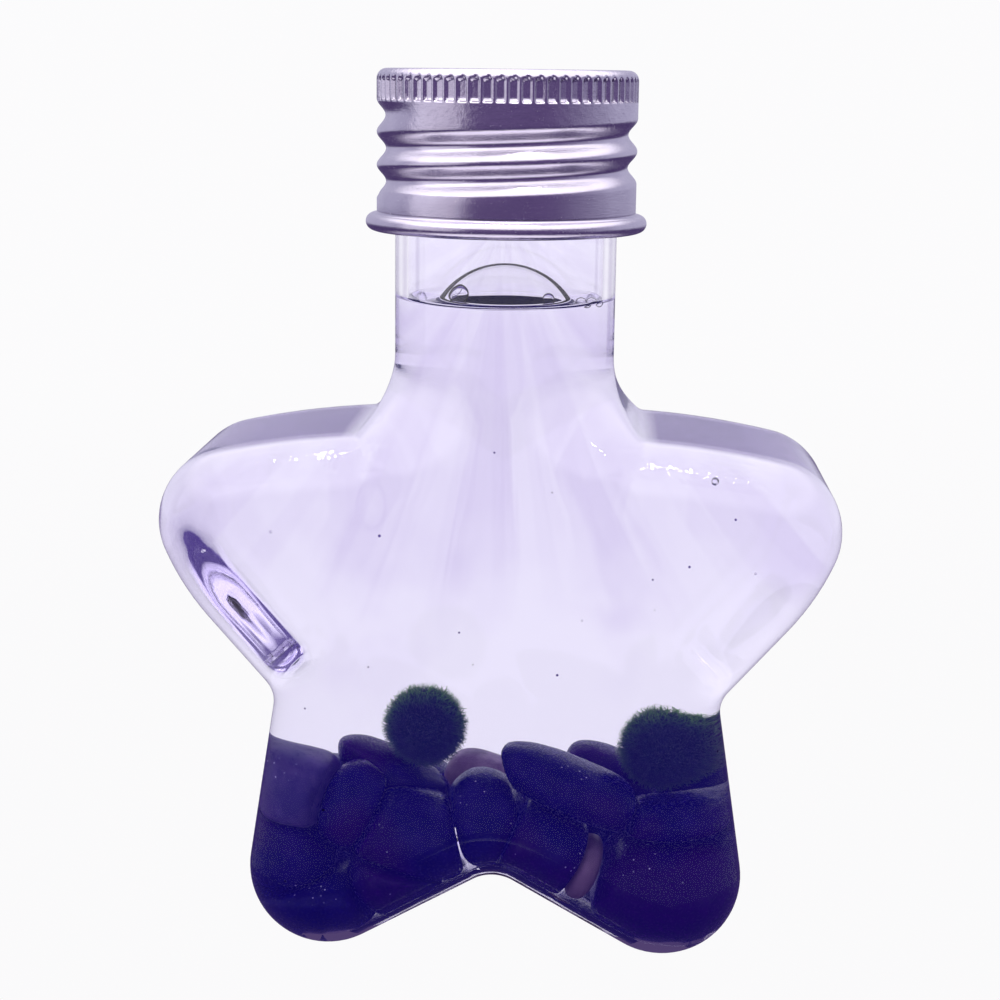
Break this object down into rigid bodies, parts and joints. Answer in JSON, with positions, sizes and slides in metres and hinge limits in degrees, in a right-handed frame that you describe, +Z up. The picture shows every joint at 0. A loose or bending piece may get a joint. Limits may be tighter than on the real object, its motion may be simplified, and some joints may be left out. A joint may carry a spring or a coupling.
{
  "type": "marimo moss ball bottle",
  "caption": "Moss balls on dark tumbled pebbles under water in a star-shaped clear glass bottle with a round neck and an aluminium screw cap.",
  "frame": {"origin": "on the table, midway between the feet and midway between the flat faces", "axes": "+Z up along the neck's axis, +X to the right arm, -Y out of the flat front face"},
  "size_m": [0.0736, 0.033, 0.0959],
  "materials": {
    "glass": "clear, blown, polished",
    "water": "clear water",
    "cap": "satin, drawn sheet",
    "liner": "white polyethylene foam",
    "moss": "soft fine filaments",
    "dark_stone": "tumbled, wet",
    "pale_stone": "tumbled, wet"
  },
  "bodies": {
    "bottle": {"bottle": "glass", "water": "water", "moss_ball_left": "moss", "moss_ball_right": "moss", "pebble_left_square": "dark_stone", "pebble_left_long": "dark_stone", "pebble_left_small": "dark_stone", "pebble_left_outer": "dark_stone", "pebble_left_foot": "dark_stone", "pebble_left_middle": "dark_stone", "pebble_left_inner": "dark_stone", "pebble_pale": "pale_stone", "pebble_centre": "dark_stone", "pebble_right_long": "dark_stone", "pebble_right_behind": "dark_stone", "pebble_right_middle": "dark_stone", "pebble_right_sliver": "pale_stone", "pebble_right_flat": "dark_stone", "pebble_right_foot": "dark_stone", "pebble_back_left_top": "dark_stone", "pebble_back_left_foot": "dark_stone", "pebble_back_left_middle": "dark_stone", "pebble_back_left_upper": "dark_stone", "pebble_back_centre": "dark_stone", "pebble_back_right_middle": "dark_stone", "pebble_back_right_foot": "dark_stone", "pebble_back_right_top": "dark_stone"},
    "liner": {"liner": "liner"},
    "cap": {"cap": "cap"}
  },
  "joints": [
    {"name": "cap_lift", "type": "slide", "parent": "bottle", "child": "liner", "axis": [0, 0, 1], "range_m": [0, 0.0053]},
    {"name": "cap_turn", "type": "hinge", "parent": "liner", "child": "cap", "pos_m": [0, 0, 0.09], "axis": [0, 0, 1], "range_deg": [0, 540]}
  ],
  "couplings": [
    {"joint": "cap_lift", "follows": "cap_turn", "m_per_rad": 0.00055704}
  ]
}
